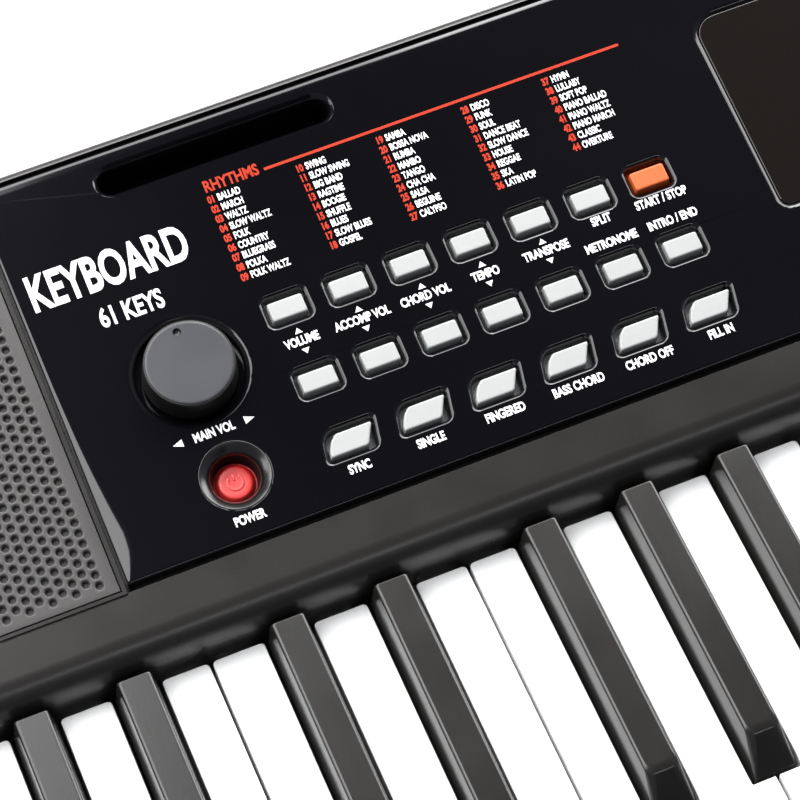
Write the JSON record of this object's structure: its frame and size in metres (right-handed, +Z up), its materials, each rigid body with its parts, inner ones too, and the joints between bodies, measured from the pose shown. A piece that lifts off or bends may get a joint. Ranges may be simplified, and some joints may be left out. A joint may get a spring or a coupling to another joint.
{
  "type": "electronic keyboard",
  "caption": "Portable toy electronic keyboard with small piano keys, gloss control panel, push buttons, volume knob, display window and speaker grilles.",
  "frame": {"origin": "centre of the footprint, on the surface that the rubber feet stand on", "axes": "+X from the low notes to the high notes, +Y from the player to the back, +Z up"},
  "size_m": [0.8, 0.252, 0.0822],
  "materials": {
    "case": "fine matt moulded ABS, dark grey",
    "panel": "polished black ABS with printed words",
    "grille": "matt dark grey ABS",
    "white_key": "smooth satin white",
    "black_key": "satin black",
    "button_cap": "satin light grey",
    "orange_cap": "satin orange",
    "power_cap": "satin red",
    "knob": "satin dark grey",
    "display_window": "dark tinted clear acrylic",
    "display_frame": "satin",
    "circuit_board": "green solder mask",
    "grey_rubber": "matt",
    "foot_rubber": "matt",
    "frame_plastic": "as moulded",
    "steel": "nickel plated",
    "speaker_steel": "black painted",
    "electrical": "black moulded nylon"
  },
  "bodies": {
    "housing": {"top_case": "case", "bottom_case": "case", "control_panel": "panel", "speaker_grille_left": "grille", "speaker_grille_right": "grille", "display_window": "display_window", "display_module": "display_frame", "volume_potentiometer": "steel", "power_switch": "electrical", "button_board": "circuit_board", "button_contact_mat": "grey_rubber", "key_frame": "frame_plastic", "key_contact_board": "circuit_board", "key_contact_rubber": "grey_rubber", "battery_contact_plate": "steel", "case_screw_left": "steel", "case_screw_right": "steel", "main_circuit_board": "circuit_board", "dc_power_inlet": "electrical", "headphone_jack": "electrical", "speaker_left": "speaker_steel", "speaker_right": "speaker_steel", "rubber_foot_front_left": "foot_rubber", "rubber_foot_rear_left": "foot_rubber", "rubber_foot_front_right": "foot_rubber", "rubber_foot_rear_right": "foot_rubber"},
    "white_key_C3": {"white_key_C3": "white_key"},
    "white_key_D3": {"white_key_D3": "white_key"},
    "white_key_E3": {"white_key_E3": "white_key"},
    "white_key_F3": {"white_key_F3": "white_key"},
    "white_key_G3": {"white_key_G3": "white_key"},
    "white_key_A3": {"white_key_A3": "white_key"},
    "white_key_B3": {"white_key_B3": "white_key"},
    "black_key_C3_sharp": {"black_key_C3_sharp": "black_key"},
    "black_key_D3_sharp": {"black_key_D3_sharp": "black_key"},
    "black_key_F3_sharp": {"black_key_F3_sharp": "black_key"},
    "black_key_G3_sharp": {"black_key_G3_sharp": "black_key"},
    "black_key_A3_sharp": {"black_key_A3_sharp": "black_key"},
    "white_keys_C2_E2_G2_B2": {"white_keys_C2_E2_G2_B2": "white_key"},
    "white_keys_C4_E4_G4_B4": {"white_keys_C4_E4_G4_B4": "white_key"},
    "white_keys_C5_E5_G5_B5": {"white_keys_C5_E5_G5_B5": "white_key"},
    "white_keys_C6_E6_G6_B6": {"white_keys_C6_E6_G6_B6": "white_key"},
    "white_keys_D2_F2_A2": {"white_keys_D2_F2_A2": "white_key"},
    "white_keys_D4_F4_A4": {"white_keys_D4_F4_A4": "white_key"},
    "white_keys_D5_F5_A5": {"white_keys_D5_F5_A5": "white_key"},
    "white_keys_D6_F6_A6": {"white_keys_D6_F6_A6": "white_key"},
    "black_keys_octave_2": {"black_keys_octave_2": "black_key"},
    "black_keys_octave_4": {"black_keys_octave_4": "black_key"},
    "black_keys_octave_5": {"black_keys_octave_5": "black_key"},
    "black_keys_octave_6": {"black_keys_octave_6": "black_key"},
    "buttons_row_1_left": {"buttons_row_1_left": "button_cap"},
    "button_start_stop": {"button_start_stop": "orange_cap"},
    "buttons_row_2_left": {"buttons_row_2_left": "button_cap"},
    "buttons_row_3_left": {"buttons_row_3_left": "button_cap"},
    "buttons_row_1_right": {"buttons_row_1_right": "button_cap"},
    "buttons_row_2_right": {"buttons_row_2_right": "button_cap"},
    "power_button": {"power_button": "power_cap"},
    "volume_knob": {"volume_knob": "knob"},
    "battery_door": {"battery_door": "case"}
  },
  "joints": [
    {"name": "white_key_C3_hinge", "type": "hinge", "parent": "housing", "child": "white_key_C3", "pos_m": [0, 0.028, 0.0447], "axis": [1, 0, 0], "range_deg": [0, 3.2], "stiffness_Nm_per_rad": 0.6, "springref_deg": -4.58},
    {"name": "white_key_D3_hinge", "type": "hinge", "parent": "housing", "child": "white_key_D3", "pos_m": [0, 0.028, 0.0447], "axis": [1, 0, 0], "range_deg": [0, 3.2], "stiffness_Nm_per_rad": 0.6, "springref_deg": -4.58},
    {"name": "white_key_E3_hinge", "type": "hinge", "parent": "housing", "child": "white_key_E3", "pos_m": [0, 0.028, 0.0447], "axis": [1, 0, 0], "range_deg": [0, 3.2], "stiffness_Nm_per_rad": 0.6, "springref_deg": -4.58},
    {"name": "white_key_F3_hinge", "type": "hinge", "parent": "housing", "child": "white_key_F3", "pos_m": [0, 0.028, 0.0447], "axis": [1, 0, 0], "range_deg": [0, 3.2], "stiffness_Nm_per_rad": 0.6, "springref_deg": -4.58},
    {"name": "white_key_G3_hinge", "type": "hinge", "parent": "housing", "child": "white_key_G3", "pos_m": [0, 0.028, 0.0447], "axis": [1, 0, 0], "range_deg": [0, 3.2], "stiffness_Nm_per_rad": 0.6, "springref_deg": -4.58},
    {"name": "white_key_A3_hinge", "type": "hinge", "parent": "housing", "child": "white_key_A3", "pos_m": [0, 0.028, 0.0447], "axis": [1, 0, 0], "range_deg": [0, 3.2], "stiffness_Nm_per_rad": 0.6, "springref_deg": -4.58},
    {"name": "white_key_B3_hinge", "type": "hinge", "parent": "housing", "child": "white_key_B3", "pos_m": [0, 0.028, 0.0447], "axis": [1, 0, 0], "range_deg": [0, 3.2], "stiffness_Nm_per_rad": 0.6, "springref_deg": -4.58},
    {"name": "black_key_C3_sharp_hinge", "type": "hinge", "parent": "housing", "child": "black_key_C3_sharp", "pos_m": [0, 0.028, 0.0447], "axis": [1, 0, 0], "range_deg": [0, 3.2], "stiffness_Nm_per_rad": 0.6, "springref_deg": -4.58},
    {"name": "black_key_D3_sharp_hinge", "type": "hinge", "parent": "housing", "child": "black_key_D3_sharp", "pos_m": [0, 0.028, 0.0447], "axis": [1, 0, 0], "range_deg": [0, 3.2], "stiffness_Nm_per_rad": 0.6, "springref_deg": -4.58},
    {"name": "black_key_F3_sharp_hinge", "type": "hinge", "parent": "housing", "child": "black_key_F3_sharp", "pos_m": [0, 0.028, 0.0447], "axis": [1, 0, 0], "range_deg": [0, 3.2], "stiffness_Nm_per_rad": 0.6, "springref_deg": -4.58},
    {"name": "black_key_G3_sharp_hinge", "type": "hinge", "parent": "housing", "child": "black_key_G3_sharp", "pos_m": [0, 0.028, 0.0447], "axis": [1, 0, 0], "range_deg": [0, 3.2], "stiffness_Nm_per_rad": 0.6, "springref_deg": -4.58},
    {"name": "black_key_A3_sharp_hinge", "type": "hinge", "parent": "housing", "child": "black_key_A3_sharp", "pos_m": [0, 0.028, 0.0447], "axis": [1, 0, 0], "range_deg": [0, 3.2], "stiffness_Nm_per_rad": 0.6, "springref_deg": -4.58},
    {"name": "white_keys_C2_E2_G2_B2_hinge", "type": "hinge", "parent": "housing", "child": "white_keys_C2_E2_G2_B2", "pos_m": [0, 0.028, 0.0447], "axis": [1, 0, 0], "range_deg": [0, 3.2], "stiffness_Nm_per_rad": 2.4, "springref_deg": -4.58},
    {"name": "white_keys_C4_E4_G4_B4_hinge", "type": "hinge", "parent": "housing", "child": "white_keys_C4_E4_G4_B4", "pos_m": [0, 0.028, 0.0447], "axis": [1, 0, 0], "range_deg": [0, 3.2], "stiffness_Nm_per_rad": 2.4, "springref_deg": -4.58},
    {"name": "white_keys_C5_E5_G5_B5_hinge", "type": "hinge", "parent": "housing", "child": "white_keys_C5_E5_G5_B5", "pos_m": [0, 0.028, 0.0447], "axis": [1, 0, 0], "range_deg": [0, 3.2], "stiffness_Nm_per_rad": 2.4, "springref_deg": -4.58},
    {"name": "white_keys_C6_E6_G6_B6_hinge", "type": "hinge", "parent": "housing", "child": "white_keys_C6_E6_G6_B6", "pos_m": [0, 0.028, 0.0447], "axis": [1, 0, 0], "range_deg": [0, 3.2], "stiffness_Nm_per_rad": 3, "springref_deg": -4.58},
    {"name": "white_keys_D2_F2_A2_hinge", "type": "hinge", "parent": "housing", "child": "white_keys_D2_F2_A2", "pos_m": [0, 0.028, 0.0447], "axis": [1, 0, 0], "range_deg": [0, 3.2], "stiffness_Nm_per_rad": 1.8, "springref_deg": -4.58},
    {"name": "white_keys_D4_F4_A4_hinge", "type": "hinge", "parent": "housing", "child": "white_keys_D4_F4_A4", "pos_m": [0, 0.028, 0.0447], "axis": [1, 0, 0], "range_deg": [0, 3.2], "stiffness_Nm_per_rad": 1.8, "springref_deg": -4.58},
    {"name": "white_keys_D5_F5_A5_hinge", "type": "hinge", "parent": "housing", "child": "white_keys_D5_F5_A5", "pos_m": [0, 0.028, 0.0447], "axis": [1, 0, 0], "range_deg": [0, 3.2], "stiffness_Nm_per_rad": 1.8, "springref_deg": -4.58},
    {"name": "white_keys_D6_F6_A6_hinge", "type": "hinge", "parent": "housing", "child": "white_keys_D6_F6_A6", "pos_m": [0, 0.028, 0.0447], "axis": [1, 0, 0], "range_deg": [0, 3.2], "stiffness_Nm_per_rad": 1.8, "springref_deg": -4.58},
    {"name": "black_keys_octave_2_hinge", "type": "hinge", "parent": "housing", "child": "black_keys_octave_2", "pos_m": [0, 0.028, 0.0447], "axis": [1, 0, 0], "range_deg": [0, 3.2], "stiffness_Nm_per_rad": 3, "springref_deg": -4.58},
    {"name": "black_keys_octave_4_hinge", "type": "hinge", "parent": "housing", "child": "black_keys_octave_4", "pos_m": [0, 0.028, 0.0447], "axis": [1, 0, 0], "range_deg": [0, 3.2], "stiffness_Nm_per_rad": 3, "springref_deg": -4.58},
    {"name": "black_keys_octave_5_hinge", "type": "hinge", "parent": "housing", "child": "black_keys_octave_5", "pos_m": [0, 0.028, 0.0447], "axis": [1, 0, 0], "range_deg": [0, 3.2], "stiffness_Nm_per_rad": 3, "springref_deg": -4.58},
    {"name": "black_keys_octave_6_hinge", "type": "hinge", "parent": "housing", "child": "black_keys_octave_6", "pos_m": [0, 0.028, 0.0447], "axis": [1, 0, 0], "range_deg": [0, 3.2], "stiffness_Nm_per_rad": 3, "springref_deg": -4.58},
    {"name": "buttons_row_1_left_press", "type": "slide", "parent": "housing", "child": "buttons_row_1_left", "axis": [0, 0.1685, -0.9857], "range_m": [0, 0.0012], "stiffness_N_per_m": 300, "springref_m": -0.002},
    {"name": "button_start_stop_press", "type": "slide", "parent": "housing", "child": "button_start_stop", "axis": [0, 0.1685, -0.9857], "range_m": [0, 0.0012], "stiffness_N_per_m": 300, "springref_m": -0.002},
    {"name": "buttons_row_2_left_press", "type": "slide", "parent": "housing", "child": "buttons_row_2_left", "axis": [0, 0.1685, -0.9857], "range_m": [0, 0.0012], "stiffness_N_per_m": 300, "springref_m": -0.002},
    {"name": "buttons_row_3_left_press", "type": "slide", "parent": "housing", "child": "buttons_row_3_left", "axis": [0, 0.1685, -0.9857], "range_m": [0, 0.0012], "stiffness_N_per_m": 300, "springref_m": -0.002},
    {"name": "buttons_row_1_right_press", "type": "slide", "parent": "housing", "child": "buttons_row_1_right", "axis": [0, 0.1685, -0.9857], "range_m": [0, 0.0012], "stiffness_N_per_m": 300, "springref_m": -0.002},
    {"name": "buttons_row_2_right_press", "type": "slide", "parent": "housing", "child": "buttons_row_2_right", "axis": [0, 0.1685, -0.9857], "range_m": [0, 0.0012], "stiffness_N_per_m": 300, "springref_m": -0.002},
    {"name": "power_button_press", "type": "slide", "parent": "housing", "child": "power_button", "axis": [0, 0.1685, -0.9857], "range_m": [0, 0.0012], "stiffness_N_per_m": 250, "springref_m": -0.002},
    {"name": "volume_knob_turn", "type": "hinge", "parent": "housing", "child": "volume_knob", "pos_m": [-0.207, 0.06413, 0.07216], "axis": [0, -0.1685, 0.9857], "range_deg": [-150, 150]},
    {"name": "battery_door_slide", "type": "slide", "parent": "housing", "child": "battery_door", "axis": [0, 1, 0], "range_m": [0, 0.062]}
  ]
}
